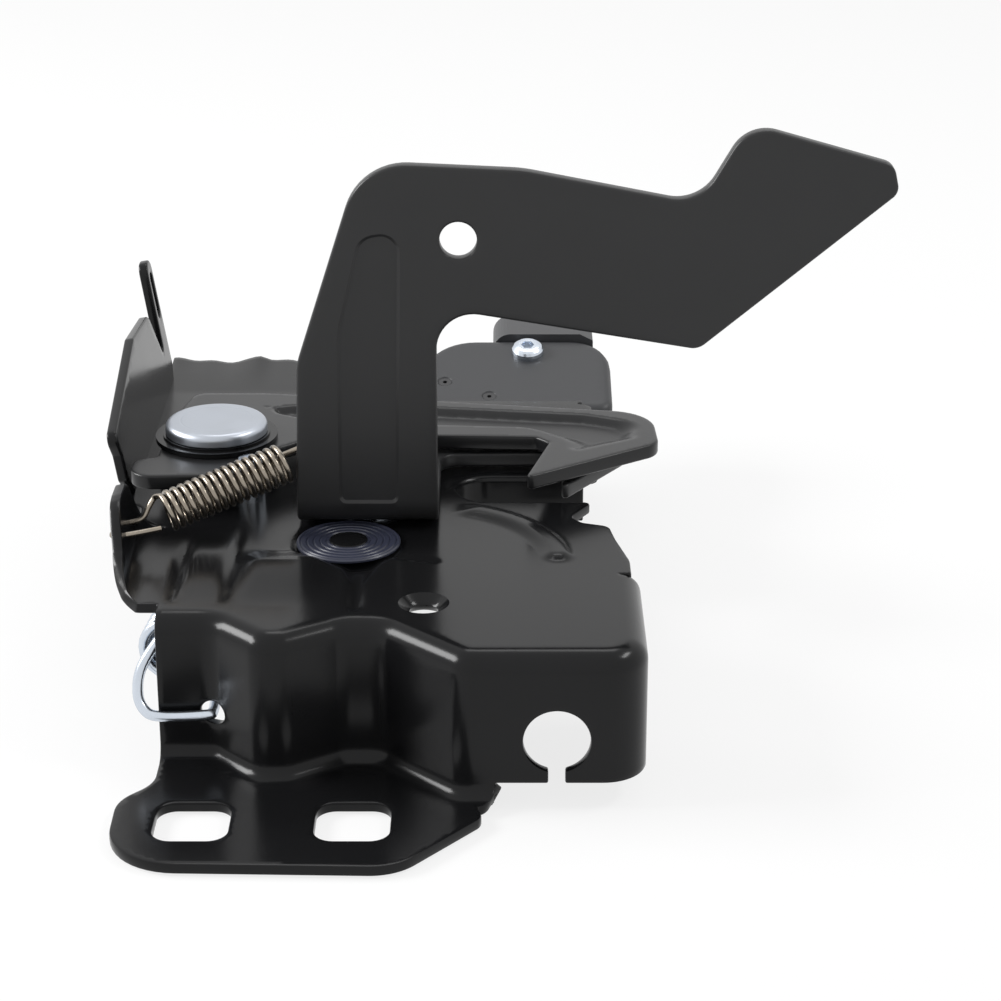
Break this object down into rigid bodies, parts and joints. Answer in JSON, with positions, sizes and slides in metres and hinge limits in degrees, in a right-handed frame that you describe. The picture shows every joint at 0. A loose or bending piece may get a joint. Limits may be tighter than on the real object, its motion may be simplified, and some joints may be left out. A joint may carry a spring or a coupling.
{
  "type": "bonnet latch",
  "caption": "Pressed-steel bonnet latch with a flanged base, a sprung catch hook, a tall safety lever, a cable-pulled release lever and a small switch.",
  "frame": {"origin": "on the mounting face under the flange, midway between the two fixing slots", "axes": "+X from the flange towards the striker's side, +Y from the flange to the switch, +Z square to the plate, away from the mounting face"},
  "size_m": [0.1536, 0.1978, 0.1093],
  "materials": {
    "black_coat": "gloss",
    "satin_coat": "satin",
    "zinc": "bright",
    "spring_wire": "oiled",
    "blued": "satin",
    "plastic": "satin",
    "blade": "bright"
  },
  "bodies": {
    "base": {"base_plate": "black_coat", "catch_rivet": "zinc", "catch_washer": "black_coat", "catch_bush": "black_coat", "catch_spring": "zinc", "lever_rivet": "zinc", "lever_washer": "zinc", "safety_spring": "spring_wire", "release_rivet": "blued", "release_washer": "blued", "release_spacer": "zinc", "switch_housing": "plastic", "switch_connector": "plastic", "switch_screw": "zinc", "left_switch_pin": "black_coat", "right_switch_pin": "black_coat", "left_terminal": "blade", "right_terminal": "blade"},
    "catch": {"catch_hook": "satin_coat", "catch_stud": "zinc"},
    "lever": {"safety_lever": "satin_coat"},
    "release": {"release_lever": "satin_coat"}
  },
  "joints": [
    {"name": "catch_hinge", "type": "hinge", "parent": "base", "child": "catch", "pos_m": [-0.0178, 0.095, 0.036], "axis": [0, 0, 1], "range_deg": [0, 20], "stiffness_Nm_per_rad": 0.8, "springref_deg": -14.32, "deforming": ["catch_spring"]},
    {"name": "lever_hinge", "type": "hinge", "parent": "base", "child": "lever", "pos_m": [0.014, 0.077, 0.032], "axis": [0, 0, 1], "range_deg": [0, 16], "stiffness_Nm_per_rad": 0.4, "springref_deg": -14.32, "deforming": ["safety_spring"]},
    {"name": "release_hinge", "type": "hinge", "parent": "base", "child": "release", "pos_m": [0.0108, 0.059, 0.025], "axis": [0, 0, 1], "range_deg": [-9.6, 0]}
  ],
  "couplings": [
    {"joint": "release_hinge", "follows": "catch_hinge", "ratio": -0.48}
  ]
}
